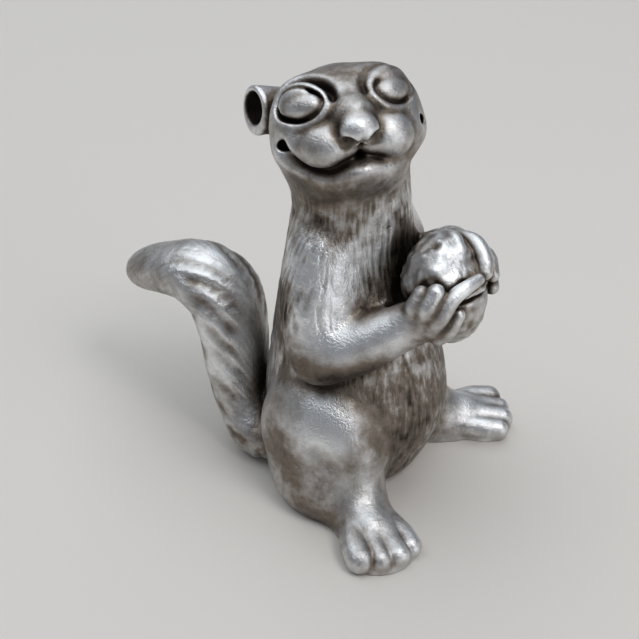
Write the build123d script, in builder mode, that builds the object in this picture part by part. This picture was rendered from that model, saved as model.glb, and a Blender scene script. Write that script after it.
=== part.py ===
# A small cast bronze squirrel that sits up on its haunches and holds an acorn to its chest.
# It is made of separate castings that are doweled and soldered together: a torso, a head with
# two cup ears, two arms, two hind legs, a tail and the acorn.
# The squirrel faces -Y, its own right side is -X, +Z is up, and the origin is the middle of
# the flat seat that it rests on. Lengths are in millimetres and angles in degrees.

import os

from build123d import *

# Torso: from the seat to the neck joint, widest and deepest at the belly.
torso_height = 27.0
torso_width = 15.6
torso_depth = 17.4
neck_diameter = 10.4
# Height, fullness across, fullness front to back, and set-back of each section of the torso.
# A fullness of 1 is the belly and 0 is the neck. The set-back is a share of the depth.
torso_section_shares = (
    (0.00, 0.40, 0.40, 0.036),
    (0.10, 0.88, 0.80, 0.018),
    (0.28, 1.00, 1.00, -0.028),
    (0.48, 0.88, 0.76, -0.028),
    (0.68, 0.62, 0.40, 0.000),
    (0.85, 0.25, 0.12, 0.018),
    (1.00, 0.00, 0.00, 0.012),
)

# Head, in its own frame: the face looks along -Y before the head is turned.
# Places on the head are shares of its width, depth and height from its middle.
head_width = 12.4
head_depth = 12.8
head_height = 11.4
head_rise = 6.6  # from the neck joint to the middle of the head
head_setback = 0.9
head_turn = -44.5  # towards the squirrel's right
head_tilt = -25.0  # upwards
head_roll = -6.0  # left side up
# Place from the neck joint to the middle of the head, and size, of the throat's sections.
throat_section_shares = ((-0.25, 1.0), (0.0, 1.0), (0.5, 1.04), (1.0, 0.92))
jaw_width = 8.6
jaw_depth = 7.4
jaw_height = 5.2
jaw_place_shares = (0.0, -0.19, -0.235)
lip_width = 2.8
lip_depth = 1.9
lip_height = 1.5
lip_place_shares = (0.0, -0.405, -0.25)
pad_width = 5.2  # the two puffed whisker pads above the mouth
pad_depth = 4.6
pad_height = 4.3
pad_place_shares = (0.20, -0.36, -0.045)
bridge_width = 4.0  # from the brow down to the nose
bridge_depth = 6.8
bridge_height = 4.2
bridge_place_shares = (0.0, -0.325, 0.08)
nose_width = 2.5
nose_depth = 2.0
nose_height = 1.7
nose_place_shares = (0.0, -0.575, 0.05)
nostril_diameter = 0.7
nostril_place_shares = (0.072, -0.615, -0.022)
brow_width = 5.0  # the ridge over each eye
brow_depth = 6.2
brow_height = 3.9
brow_place_shares = (0.262, -0.135, 0.285)
eye_place_shares = (0.285, -0.305, 0.282)
eye_facing = (0.56, -0.58, 0.59)  # outwards, forwards and up
socket_width = 4.9  # the hollow round each eye
socket_height = 3.4
socket_depth = 2.0
eyeball_width = 3.9
eyeball_height = 2.5
eyeball_depth = 2.4
mouth_corner_diameter = 1.2
mouth_corner_place_shares = (0.425, -0.27, 0.005)
mouth_groove_diameter = 0.9
# The line of the smile under the whisker pads, from its right corner to where it fades out.
mouth_line_shares = (
    (-0.427, -0.258, 0.000),
    (-0.403, -0.281, -0.075),
    (-0.363, -0.305, -0.149),
    (-0.290, -0.352, -0.202),
    (-0.194, -0.406, -0.219),
    (-0.121, -0.445, -0.193),
    (0.000, -0.469, -0.167),
    (0.121, -0.445, -0.190),
    (0.215, -0.392, -0.218),
)

# Ears: round cups, each on a spigot that seats in the side of the head.
ear_diameter = 4.0
ear_base_diameter = 3.4
ear_length = 4.6
ear_wall = 0.5
ear_cup_depth = 2.6
ear_spigot_diameter = 1.5
ear_spigot_length = 1.4
right_ear_place_shares = (0.205, 0.335, 0.255)
right_ear_facing = (0.94, -0.33, 0.10)  # outwards, forwards and up
left_ear_place_shares = (0.19, 0.325, 0.135)
left_ear_facing = (0.85, 0.36, 0.18)  # laid back

# Hind legs: a thigh and hock against the torso, and a splayed foot with toes.
thigh_width = 8.6
thigh_depth = 13.4
thigh_height = 13.0
thigh_place_shares = (0.42, -0.07, 0.235)  # of the torso's width, depth and height
hock_width = 8.0
hock_depth = 11.0
hock_height = 8.0
hock_place_shares = (0.475, -0.14, 0.085)
foot_length = 9.6
foot_width = 6.2
foot_height = 3.5
right_foot_splay = 38.0
left_foot_splay = 46.0
left_leg_setback = 1.2  # the left leg is drawn back and in, compared with the right one
left_leg_inset = 0.9
heel_place_shares = (0.46, -0.29, 0.0)
instep_length_share = 0.98  # length and middle of the foot behind the toes
instep_middle_share = 0.35
toe_count = 4
toe_length = 4.8
toe_width = 1.9
toe_height = 2.3
toe_pitch = 1.15
toe_fan = 5.5  # degrees between neighbouring toes
toe_arch_share = 0.09  # how far the outer toes fall short, of the toe length

# Acorn: a kernel below and a domed cap above, its top leaning back to the chin.
nut_diameter = 7.0
nut_height = 9.8
cap_diameter = 7.5
cap_height = 5.0
cap_groove = 0.3
nut_tilt = 16.0
nut_gap = 0.1  # between the acorn and the chest
chest_reach_share = 0.325  # how far the chest stands forward there, of the torso's depth
nut_middle_share = 0.81  # height of the acorn's middle, of the torso's height

# Arms: an upper arm down the side, a forearm forward, and a paw with fingers on the acorn.
# The right paw holds the acorn's side from below and the left paw its far side from above.
shoulder_diameter = 6.0
upper_arm_diameter = 6.0
elbow_diameter = 5.0
forearm_diameter = 4.7
wrist_diameter = 3.8
limb_share = 0.92  # how thick the arm is at each end of a limb, of the joint there
shoulder_place_shares = (0.345, 0.01, 0.855)  # of the torso's width, depth and height
right_elbow_place_shares = (0.485, -0.075, 0.585)
left_elbow_place_shares = (0.485, -0.075, 0.63)
right_wrist_place_shares = (0.56, 0.24, -0.26)  # of the cap's diameter, from the acorn's middle
left_wrist_place_shares = (0.48, 0.40, 0.15)
right_paw_facing = (0.84, 0.10, -0.53)  # from the acorn's middle to the palm
left_paw_facing = (0.68, 0.24, 0.69)
palm_breadth = 4.2
palm_thickness = 2.6
palm_lift_share = 0.54  # how far out the palm's middle is, of the cap's diameter
finger_count = 4
finger_diameter = 1.8
finger_bone_length = 2.8
finger_bone_shares = ((0.32, 1.0), (0.64, 0.94), (0.92, 0.82))  # place round the acorn, size
finger_spread = 25.0  # degrees between neighbouring fingers
right_finger_start = 2.0  # degrees up from straight forward
left_finger_start = -50.0
right_finger_wrap = 78.0  # degrees round the acorn
left_finger_wrap = 52.0

# Tail: from the right of the rump up behind the back, then bent backwards to a blunt tip.
tail_reach = 18.2  # from the root to the tip
tail_rise = 13.6  # from the root to the top of the bend's centre line
tail_lean = 1.6  # how far the tail leans back to the middle
tail_width = 8.4
tail_thickness = 5.8
tail_root_place_shares = (-0.263, 0.38, 0.078)  # of the torso's width, depth and height
# Place along the lean, the reach and the rise, and size across and through, of each section.
tail_section_shares = (
    (0.56, -0.19, 0.07, 0.62, 0.69),
    (-0.19, 0.00, 0.00, 0.83, 0.86),
    (0.00, 0.135, 0.16, 0.74, 0.86),
    (0.31, 0.208, 0.40, 0.86, 0.88),
    (0.62, 0.255, 0.67, 0.95, 0.95),
    (0.81, 0.324, 0.90, 1.00, 1.00),
    (0.88, 0.495, 1.00, 0.905, 0.965),
    (0.94, 0.692, 0.934, 0.74, 0.845),
    (1.00, 0.846, 0.853, 0.595, 0.724),
    (1.00, 0.940, 0.80, 0.405, 0.50),
    (1.00, 0.980, 0.78, 0.214, 0.26),
)
tail_tip_shares = (1.00, 1.00, 0.77)

# Dowels that locate the castings, and the solder gap round them.
neck_dowel_diameter = 3.0
neck_dowel_length = 8.0
tail_dowel_diameter = 2.0
tail_dowel_length = 6.0
shoulder_dowel_diameter = 1.6
shoulder_dowel_length = 4.4
hip_dowel_diameter = 2.0
hip_dowel_length = 5.0
solder_gap = 0.04

overrun = 60.0  # how far a cutting block reaches past what it cuts

right = -1  # the squirrel's own right and left, as signs along X
left = 1


def torso_half_sizes(share_across, share_through):
    """Half the width and half the depth of a torso section of that fullness."""
    across = neck_diameter + (torso_width - neck_diameter) * share_across
    through = neck_diameter + (torso_depth - neck_diameter) * share_through
    return across / 2, through / 2


def of_torso(shares, side):
    """A place in shares of the torso's width, depth and height, on one side of the squirrel."""
    across, back, up = shares
    return Vector(side * across * torso_width, back * torso_depth, up * torso_height)


def of_head(shares, side=1):
    """A place in the head's own frame, in shares of the head's sizes."""
    across, back, up = shares
    return Vector(side * across * head_width, back * head_depth, up * head_height)


def sided(direction, side):
    """A direction given for the squirrel's left, on either side."""
    outwards, back, up = direction
    return Vector(side * outwards, back, up).normalized()


def egg(width, depth, height, place):
    """An ellipsoid of those three diameters at a location."""
    with BuildPart() as form:
        Sphere(1)
        scale(by=(width / 2, depth / 2, height / 2))
    return place * form.part


def round_limb(stations):
    """A round limb lofted through (centre, diameter) stations."""
    with BuildPart() as limb:
        for index, (centre, diameter) in enumerate(stations):
            after = stations[min(index + 1, len(stations) - 1)][0]
            before = stations[max(index - 1, 0)][0]
            with BuildSketch(Plane(centre, z_dir=after - before)):
                Circle(diameter / 2)
        loft()
    return limb.part


def dowel(diameter, length, plane):
    """A dowel centred on a plane's origin, along its normal."""
    with BuildPart() as pin:
        Cylinder(diameter / 2, length)
    return plane.location * pin.part


def dowel_bore(diameter, length, plane):
    """The hole that a dowel is soldered into, with the solder gap all round."""
    return dowel(diameter + 2 * solder_gap, length + 2 * solder_gap, plane)


# Torso casting, before its dowel holes. The other castings seat on this form.
with BuildPart() as torso_form:
    for height_share, across_share, through_share, back_share in torso_section_shares:
        half_across, half_through = torso_half_sizes(across_share, through_share)
        with BuildSketch(Plane((0, back_share * torso_depth, height_share * torso_height))):
            Ellipse(half_across, half_through)
    loft()

with BuildPart() as ground:
    Box(overrun, overrun, overrun, align=(Align.CENTER, Align.CENTER, Align.MAX))

# Acorn: its profile is turned about its own leaning axis in front of the chest.
nut_centre = Vector(
    0,
    -(chest_reach_share * torso_depth + nut_gap + cap_diameter / 2),
    nut_middle_share * torso_height,
)
nut_axis = Vector(0, 0, 1).rotate(Axis.X, -nut_tilt)
nut_plane = Plane(nut_centre, x_dir=(1, 0, 0), z_dir=Vector(1, 0, 0).cross(nut_axis))
with BuildPart() as nut:
    with BuildSketch(nut_plane):
        with BuildLine():
            top = (0, nut_height / 2)
            rim_height = nut_height / 2 - cap_height
            rim = (cap_diameter / 2, rim_height + cap_groove)
            groove = (nut_diameter / 2 - cap_groove, rim_height)
            kernel = (nut_diameter / 2, rim_height - 2 * cap_groove)
            bottom = (0, -nut_height / 2)
            Spline(top, rim, tangents=((1, 0), (0, -1)))
            Line(rim, groove)
            Line(groove, kernel)
            Spline(kernel, bottom, tangents=((0, -1), (-1, 0)))
            Line(bottom, top)
        make_face()
    revolve(axis=Axis(nut_centre, nut_axis))
nut.part.label = "nut"


# Hind legs: thigh, hock, foot and toes, cut flat underneath and seated on the torso.
def of_leg(shares, side):
    """A place on a hind leg, in shares of the torso's sizes."""
    drawn_in = Vector(-left_leg_inset, left_leg_setback, 0) if side == left else Vector(0, 0, 0)
    return of_torso(shares, side) + drawn_in


def hip_plane(side):
    """The plane across a hip dowel."""
    return Plane(of_leg(thigh_place_shares, side), z_dir=(side, 0, 0))


def leg_forms(side, splay):
    """The thigh, hock, instep and toes of one hind leg."""
    forwards = Vector(0, -1, 0).rotate(Axis.Z, side * splay)
    foot = Plane(of_leg(heel_place_shares, side), x_dir=forwards, z_dir=(0, 0, 1)).location
    instep = foot * Pos(instep_middle_share * foot_length, 0, 0)
    forms = [
        egg(thigh_width, thigh_depth, thigh_height, Pos(of_leg(thigh_place_shares, side))),
        egg(hock_width, hock_depth, hock_height, Pos(of_leg(hock_place_shares, side))),
        egg(instep_length_share * foot_length, foot_width, 2 * foot_height, instep),
    ]
    for index in range(toe_count):
        step = index - (toe_count - 1) / 2
        reach = foot_length - toe_length / 2 - toe_arch_share * step * step * toe_length
        toe = foot * Rot(0, 0, step * toe_fan) * Pos(reach, step * toe_pitch, toe_height / 2)
        forms.append(egg(toe_length, toe_width, toe_height, toe))
    return forms


right_leg_forms = leg_forms(right, right_foot_splay)
with BuildPart() as right_hind_leg:
    for form in right_leg_forms:
        add(form)
    add(ground.part, mode=Mode.SUBTRACT)
    add(torso_form.part, mode=Mode.SUBTRACT)
    add(dowel_bore(hip_dowel_diameter, hip_dowel_length, hip_plane(right)), mode=Mode.SUBTRACT)
right_hind_leg.part.label = "right_hind_leg"

left_leg_forms = leg_forms(left, left_foot_splay)
with BuildPart() as left_hind_leg:
    for form in left_leg_forms:
        add(form)
    add(ground.part, mode=Mode.SUBTRACT)
    add(torso_form.part, mode=Mode.SUBTRACT)
    add(dowel_bore(hip_dowel_diameter, hip_dowel_length, hip_plane(left)), mode=Mode.SUBTRACT)
left_hind_leg.part.label = "left_hind_leg"


# Arms.
def shoulder_plane(side):
    """The plane across a shoulder dowel."""
    return Plane(of_torso(shoulder_place_shares, side), z_dir=Vector(side, 0, 0))


def finger_bones(facing, forwards, wrap):
    """The rounded lengths of a finger that goes from the palm round the acorn."""
    round_nut = Plane(nut_centre, x_dir=facing, z_dir=facing.cross(forwards)).location
    bones = []
    for wrap_share, size_share in finger_bone_shares:
        thick = size_share * finger_diameter
        place = round_nut * Rot(0, 0, wrap_share * wrap) * Pos(cap_diameter / 2, 0, 0)
        bones.append(egg(thick, size_share * finger_bone_length, thick, place))
    return bones


def arm_forms(side, elbow_shares, wrist_shares, paw_facing, finger_start, finger_wrap):
    """The shoulder, upper arm, elbow, forearm, palm and fingers of one arm."""
    shoulder = of_torso(shoulder_place_shares, side)
    elbow = of_torso(elbow_shares, side)
    out_share, back_share, up_share = wrist_shares
    wrist = nut_centre + Vector(side * out_share, back_share, up_share) * cap_diameter
    facing = sided(paw_facing, side)
    palm_plane = Plane(nut_centre + facing * palm_lift_share * cap_diameter, z_dir=facing)
    upper_arm = (
        (shoulder, limb_share * shoulder_diameter),
        ((shoulder + elbow) / 2, upper_arm_diameter),
        (elbow, limb_share * elbow_diameter),
    )
    forearm = (
        (elbow, limb_share * elbow_diameter),
        ((elbow + wrist) / 2, forearm_diameter),
        (wrist, limb_share * wrist_diameter),
    )
    forms = [
        egg(shoulder_diameter, shoulder_diameter, shoulder_diameter, Pos(shoulder)),
        round_limb(upper_arm),
        egg(elbow_diameter, elbow_diameter, elbow_diameter, Pos(elbow)),
        round_limb(forearm),
        egg(wrist_diameter, wrist_diameter, wrist_diameter, Pos(wrist)),
        egg(palm_breadth, palm_breadth, palm_thickness, palm_plane.location),
    ]
    for index in range(finger_count):
        lift = finger_start + index * finger_spread
        forwards = Vector(0, -1, 0).rotate(Axis.X, -lift)
        forms.extend(finger_bones(facing, forwards, finger_wrap))
    return forms


right_arm_forms = arm_forms(
    right,
    right_elbow_place_shares,
    right_wrist_place_shares,
    right_paw_facing,
    right_finger_start,
    right_finger_wrap,
)
with BuildPart() as right_arm:
    for form in right_arm_forms:
        add(form)
    add(nut.part, mode=Mode.SUBTRACT)
    add(torso_form.part, mode=Mode.SUBTRACT)
    add(
        dowel_bore(shoulder_dowel_diameter, shoulder_dowel_length, shoulder_plane(right)),
        mode=Mode.SUBTRACT,
    )
right_arm.part.label = "right_arm"

left_arm_forms = arm_forms(
    left,
    left_elbow_place_shares,
    left_wrist_place_shares,
    left_paw_facing,
    left_finger_start,
    left_finger_wrap,
)
with BuildPart() as left_arm:
    for form in left_arm_forms:
        add(form)
    add(nut.part, mode=Mode.SUBTRACT)
    add(torso_form.part, mode=Mode.SUBTRACT)
    add(
        dowel_bore(shoulder_dowel_diameter, shoulder_dowel_length, shoulder_plane(left)),
        mode=Mode.SUBTRACT,
    )
left_arm.part.label = "left_arm"


# Tail: oval sections square to its centre line, seated on the torso's back, thigh and hock.
def of_tail(shares):
    """A place on the tail's centre line."""
    across, back, up = shares
    root = of_torso(tail_root_place_shares, 1)
    return root + Vector(across * tail_lean, back * tail_reach, up * tail_rise)


tail_points = [of_tail(shares[:3]) for shares in tail_section_shares]
tail_tip = of_tail(tail_tip_shares)
tail_dowel_plane = Plane(tail_points[1], z_dir=(0, 1, 0))
tail_sections = []
for index, (*place_shares, width_share, thickness_share) in enumerate(tail_section_shares):
    after = (tail_points + [tail_tip])[index + 1]
    before = tail_points[max(index - 1, 0)]
    with BuildSketch(Plane(tail_points[index], x_dir=(1, 0, 0), z_dir=after - before)) as section:
        Ellipse(width_share * tail_width / 2, thickness_share * tail_thickness / 2)
    tail_sections.append(section.sketch)

with BuildPart() as tail:
    loft(tail_sections + [Vertex(tail_tip)])
    add(ground.part, mode=Mode.SUBTRACT)
    for form in right_leg_forms[:2]:
        add(form, mode=Mode.SUBTRACT)
    add(torso_form.part, mode=Mode.SUBTRACT)
    add(dowel_bore(tail_dowel_diameter, tail_dowel_length, tail_dowel_plane), mode=Mode.SUBTRACT)
tail.part.label = "tail"

# Head casting, in its turned and tilted frame.
neck_centre = Vector(0, torso_section_shares[-1][-1] * torso_depth, torso_height)
neck_plane = Plane(neck_centre)
head_centre = neck_centre + Vector(0, head_setback, head_rise)


def as_head(direction):
    """A direction of the head's own frame, rolled, tilted and turned as the head is."""
    rolled = Vector(direction).rotate(Axis.Y, head_roll)
    return rolled.rotate(Axis.X, head_tilt).rotate(Axis.Z, head_turn)


head_frame = Plane(head_centre, x_dir=as_head((1, 0, 0)), z_dir=as_head((0, 0, 1))).location


def on_head(shares, side=1):
    """The location of a place on the turned head."""
    return head_frame * Pos(of_head(shares, side))


def eye_place(side):
    """The location of an eye, looking straight out of the head."""
    facing = sided(eye_facing, side)
    along = Vector(0, 0, 1).cross(facing)
    return head_frame * Plane(of_head(eye_place_shares, side), x_dir=along, z_dir=facing).location


right_ear_plane = Plane(
    of_head(right_ear_place_shares, right), z_dir=sided(right_ear_facing, right)
)
left_ear_plane = Plane(of_head(left_ear_place_shares, left), z_dir=sided(left_ear_facing, left))
right_ear_place = head_frame * right_ear_plane.location
left_ear_place = head_frame * left_ear_plane.location


def ear_spigot(gap):
    """An ear's spigot, or with a gap the hole for it, from inside the head to the cup's floor."""
    with BuildPart() as spigot:
        with Locations((0, 0, -ear_spigot_length - gap)):
            Cylinder(
                ear_spigot_diameter / 2 + gap,
                ear_spigot_length + gap + ear_length - ear_cup_depth - ear_wall,
                align=(Align.CENTER, Align.CENTER, Align.MIN),
            )
    return spigot.part


# Mouth: a round cutter along the smile, in the head's own frame.
with BuildPart() as mouth_cutter:
    with BuildLine():
        smile = Spline(*[of_head(shares) for shares in mouth_line_shares])
    with BuildSketch(Plane(smile @ 0, z_dir=smile % 0)):
        Circle(mouth_groove_diameter / 2)
    sweep()

throat = [
    (neck_centre + (head_centre - neck_centre) * place_share, size_share * neck_diameter)
    for place_share, size_share in throat_section_shares
]
with BuildPart() as head_form:
    add(egg(head_width, head_depth, head_height, head_frame))
    add(round_limb(throat))
    add(egg(jaw_width, jaw_depth, jaw_height, on_head(jaw_place_shares)))
    add(egg(lip_width, lip_depth, lip_height, on_head(lip_place_shares)))
    add(egg(bridge_width, bridge_depth, bridge_height, on_head(bridge_place_shares)))
    for side in (right, left):
        add(egg(brow_width, brow_depth, brow_height, on_head(brow_place_shares, side)))
        add(egg(pad_width, pad_depth, pad_height, on_head(pad_place_shares, side)))
    add(egg(nose_width, nose_depth, nose_height, on_head(nose_place_shares)))
    add(head_frame * mouth_cutter.part, mode=Mode.SUBTRACT)
    for side in (right, left):
        pit = mouth_corner_diameter
        add(egg(pit, pit, pit, on_head(mouth_corner_place_shares, side)), mode=Mode.SUBTRACT)
        pit = nostril_diameter
        add(egg(pit, pit, pit, on_head(nostril_place_shares, side)), mode=Mode.SUBTRACT)
        socket = egg(socket_width, socket_height, socket_depth, eye_place(side))
        add(socket, mode=Mode.SUBTRACT)
        add(egg(eyeball_width, eyeball_height, eyeball_depth, eye_place(side)))
    split(bisect_by=neck_plane, keep=Keep.TOP)

with BuildPart() as head:
    add(head_form.part)
    for place in (right_ear_place, left_ear_place):
        add(place * ear_spigot(solder_gap), mode=Mode.SUBTRACT)
    add(dowel_bore(neck_dowel_diameter, neck_dowel_length, neck_plane), mode=Mode.SUBTRACT)
head.part.label = "head"

# Ears: a turned cup with a rounded rim, cut to seat on the head, on a spigot.
with BuildPart() as ear_cup:
    with BuildSketch(Plane.XZ):
        with BuildLine():
            base = (ear_base_diameter / 2, 0)
            outer = (ear_diameter / 2, ear_length - ear_wall / 2)
            crest = (ear_diameter / 2 - ear_wall / 2, ear_length)
            inner = (ear_diameter / 2 - ear_wall, ear_length - ear_wall / 2)
            floor = (0, ear_length - ear_cup_depth)
            Line((0, 0), base)
            Spline(base, outer, tangents=((0, 1), (0, 1)))
            ThreePointArc(outer, crest, inner)
            Spline(inner, floor, tangents=((0, -1), (-1, 0)))
            Line(floor, (0, 0))
        make_face()
    revolve(axis=Axis.Z)

with BuildPart() as right_ear:
    add(right_ear_place * ear_cup.part)
    add(head_form.part, mode=Mode.SUBTRACT)
    add(right_ear_place * ear_spigot(0))
right_ear.part.label = "right_ear"

with BuildPart() as left_ear:
    add(left_ear_place * ear_cup.part)
    add(head_form.part, mode=Mode.SUBTRACT)
    add(left_ear_place * ear_spigot(0))
left_ear.part.label = "left_ear"

# Dowels.
with BuildPart() as neck_dowel:
    add(dowel(neck_dowel_diameter, neck_dowel_length, neck_plane))
neck_dowel.part.label = "neck_dowel"

with BuildPart() as tail_dowel:
    add(dowel(tail_dowel_diameter, tail_dowel_length, tail_dowel_plane))
tail_dowel.part.label = "tail_dowel"

with BuildPart() as shoulder_dowels:
    for side in (right, left):
        add(dowel(shoulder_dowel_diameter, shoulder_dowel_length, shoulder_plane(side)))
shoulder_dowels.part.label = "shoulder_dowels"

with BuildPart() as hip_dowels:
    for side in (right, left):
        add(dowel(hip_dowel_diameter, hip_dowel_length, hip_plane(side)))
hip_dowels.part.label = "hip_dowels"

# The torso with its dowel holes.
with BuildPart() as torso:
    add(torso_form.part)
    add(dowel_bore(neck_dowel_diameter, neck_dowel_length, neck_plane), mode=Mode.SUBTRACT)
    add(dowel_bore(tail_dowel_diameter, tail_dowel_length, tail_dowel_plane), mode=Mode.SUBTRACT)
    for side in (right, left):
        add(dowel_bore(hip_dowel_diameter, hip_dowel_length, hip_plane(side)), mode=Mode.SUBTRACT)
        add(
            dowel_bore(shoulder_dowel_diameter, shoulder_dowel_length, shoulder_plane(side)),
            mode=Mode.SUBTRACT,
        )
torso.part.label = "torso"

os.makedirs("parts", exist_ok=True)
for piece in (
    torso,
    head,
    right_ear,
    left_ear,
    right_arm,
    left_arm,
    right_hind_leg,
    left_hind_leg,
    tail,
    nut,
    neck_dowel,
    tail_dowel,
    shoulder_dowels,
    hip_dowels,
):
    export_step(piece.part, f"parts/{piece.part.label}.step")
    print(piece.part.label, len(piece.part.solids()), round(piece.part.volume, 1))
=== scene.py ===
import math
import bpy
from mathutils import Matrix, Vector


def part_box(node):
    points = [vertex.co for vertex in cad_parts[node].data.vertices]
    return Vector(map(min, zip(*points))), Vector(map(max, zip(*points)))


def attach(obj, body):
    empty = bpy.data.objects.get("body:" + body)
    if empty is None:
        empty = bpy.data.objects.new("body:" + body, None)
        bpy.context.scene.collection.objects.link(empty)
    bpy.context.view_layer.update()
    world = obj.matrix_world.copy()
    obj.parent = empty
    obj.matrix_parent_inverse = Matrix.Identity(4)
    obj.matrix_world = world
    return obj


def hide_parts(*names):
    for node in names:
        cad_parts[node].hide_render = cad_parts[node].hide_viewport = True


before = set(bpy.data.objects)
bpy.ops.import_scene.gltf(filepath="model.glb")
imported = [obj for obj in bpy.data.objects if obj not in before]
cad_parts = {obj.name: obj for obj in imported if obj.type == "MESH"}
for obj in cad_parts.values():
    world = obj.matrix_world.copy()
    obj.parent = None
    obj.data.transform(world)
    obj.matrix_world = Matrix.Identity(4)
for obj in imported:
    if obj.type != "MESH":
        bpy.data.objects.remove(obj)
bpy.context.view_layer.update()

from concurrent.futures import ThreadPoolExecutor
from functools import partial

import bpy
import numpy as np
from mathutils import Vector

# The figurine is sculpted as one soft skin in millimetres, then parted into the castings of the frame.
# It faces -Y, its own right is -X, and it sits on z = 0.
mm = 0.001

sculpt = {
    "cell": 0.16,  # size of a mesh face
    "fineCell": 0.125,  # the same on the head, the ears, the arms and the acorn
    "fineCastings": ("head", "right_ear", "left_ear", "right_arm", "left_arm", "nut"),
    "quickScale": 1.7,
    "overlap": 0.6,  # how far neighbouring castings go on under each other
    "tuck": 0.07,  # and how deep they lie there
    "fade": 0.45,  # over which distance they sink to that depth
    "reach": 2.5,  # how far from its casting a form is still felt
    "far": 3.0,  # distance given to what lies further away
    "core": 2.0,  # limbs and tail start this close to the middle of the torso
    "margin": 1.2,  # round the box of a casting while it is meshed
    "stride": 4,  # cells between the places of the first, rough look
    "settleRounds": 2,
    "settleReach": 0.4,  # share of a cell
    "settleStep": 3,  # longest move, in reaches
    "flattest": 0.2,  # slope squared that still counts
    "sharpAngle": 65.0,
}


# Sculpting tools: each form is a distance, negative inside the metal.
def unit(vector):
    vector = np.asarray(vector, float)
    return vector / np.linalg.norm(vector)


def axesFacing(out, up=(0, 0, 1)):
    out = unit(out)
    across = unit(np.cross(up, out))
    return np.array([across, np.cross(out, across), out])


def turned(axis, degrees):
    angle = math.radians(degrees)
    s, c = math.sin(angle), math.cos(angle)
    rows = {
        "x": ((1, 0, 0), (0, c, -s), (0, s, c)),
        "y": ((c, 0, s), (0, 1, 0), (-s, 0, c)),
        "z": ((c, -s, 0), (s, c, 0), (0, 0, 1)),
    }
    return np.array(rows[axis])


def step(value, low, high):
    t = np.clip((value - low) / (high - low), 0, 1)
    return t * t * (3 - 2 * t)


def egg(points, centre, radii, axes=None):
    local = points - np.asarray(centre)
    if axes is not None:
        local = local @ axes.T
    radii = np.asarray(radii, float)
    inner = np.linalg.norm(local / radii, axis=1)
    slope = np.linalg.norm(local / radii**2, axis=1)
    return inner * (inner - 1) / np.maximum(slope, 1e-6)


def melt(a, b, softness):
    near = np.maximum(softness - np.abs(a - b), 0) / softness
    return np.minimum(a, b) - near * near * softness / 4


def carve(a, hollow, softness):
    return -melt(-a, hollow, softness)


def smoothPath(stations, steps=6):
    keys = np.asarray(stations, float)
    keys = np.vstack([2 * keys[0] - keys[1], keys, 2 * keys[-1] - keys[-2]])
    rows = []
    for a, b, c, d in zip(keys[:-3], keys[1:-2], keys[2:-1], keys[3:]):
        for t in np.arange(steps) / steps:
            bend = (2 * a - 5 * b + 4 * c - d) * t**2 + (3 * b - a - 3 * c + d) * t**3
            rows.append(b + ((c - a) * t + bend) / 2)
    rows.append(keys[-2])
    return np.array(rows)


def alongPath(points, path):
    # distance to the path's line, and the place along it in steps of the path
    best = np.full(len(points), 1e9)
    place = np.zeros(len(points))
    for index in range(len(path) - 1):
        start, run = path[index, :3], path[index + 1, :3] - path[index, :3]
        offset = points - start
        t = np.clip(offset @ run / max(run @ run, 1e-9), 0, 1)
        offset -= t[:, None] * run
        away = np.einsum("ij,ij->i", offset, offset)
        closer = away < best
        best = np.where(closer, away, best)
        place = np.where(closer, index + t, place)
    return np.sqrt(best), place


def onPath(path, place, columns):
    return np.stack([np.interp(place, np.arange(len(path)), path[:, k]) for k in columns], 1)


def limb(points, stations, steps=4):
    # a round limb through (x, y, z, radius) stations
    path = smoothPath(stations, steps)
    reach = path[:, 3].max() + sculpt["reach"]
    low, high = path[:, :3].min(0) - reach, path[:, :3].max(0) + reach
    inBox = np.all((points > low) & (points < high), axis=1)
    form = np.full(len(points), sculpt["far"])
    if inBox.any():
        away, place = alongPath(points[inBox], path)
        form[inBox] = away - np.interp(place, np.arange(len(path)), path[:, 3])
    return form


def groove(points, stations, width, depth):
    # a soft valley along a line, which fades out at both ends
    path = smoothPath(stations, 4)
    low, high = path.min(0) - 3 * width, path.max(0) + 3 * width
    close = np.all((points > low) & (points < high), axis=1)
    cut = np.zeros(len(points))
    if close.any():
        away, place = alongPath(points[close], path)
        share = place / (len(path) - 1)
        fades = step(share, 0, 0.3) * (1 - step(share, 0.7, 1))
        cut[close] = depth * fades * np.exp(-((away / width) ** 2))
    return cut


# large odd numbers that scatter the lumps
mixers = {"axes": (73856093, 19349663, 83492791), "seed": 2654435761, "stir": 1274126177}


def noise(points, size, seed=0):
    # soft lumps between -1 and 1, the same on every run
    place = points / size
    low = np.floor(place).astype(np.int64)
    part = place - low
    part = part * part * (3 - 2 * part)
    total = np.zeros(len(points))
    for corner in np.ndindex(2, 2, 2):
        cell = low + corner
        x, y, z = (cell * mixers["axes"]).T
        code = x ^ y ^ z ^ (seed * mixers["seed"])
        code = (code ^ (code >> 13)) * mixers["stir"]
        code = (code ^ (code >> 16)) & 0xFFFF
        weight = np.prod(np.where(corner, part, 1 - part), axis=1)
        total += weight * (code / 32767.5 - 1)
    return total


chisel = {
    "stagger": 1.7,  # how far the columns are shifted, in marks
    "size": (0.75, 0.5),  # mean and spread
    "lean": 0.35,  # sideways, in gaps
    "tilt": 0.25,
    "halfWidth": 0.34,
    "crispness": 1.5,
    "scatter": {"column": 7.3, "row": 5.1, "lean": 3.7, "size": 2.9},
}


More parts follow.
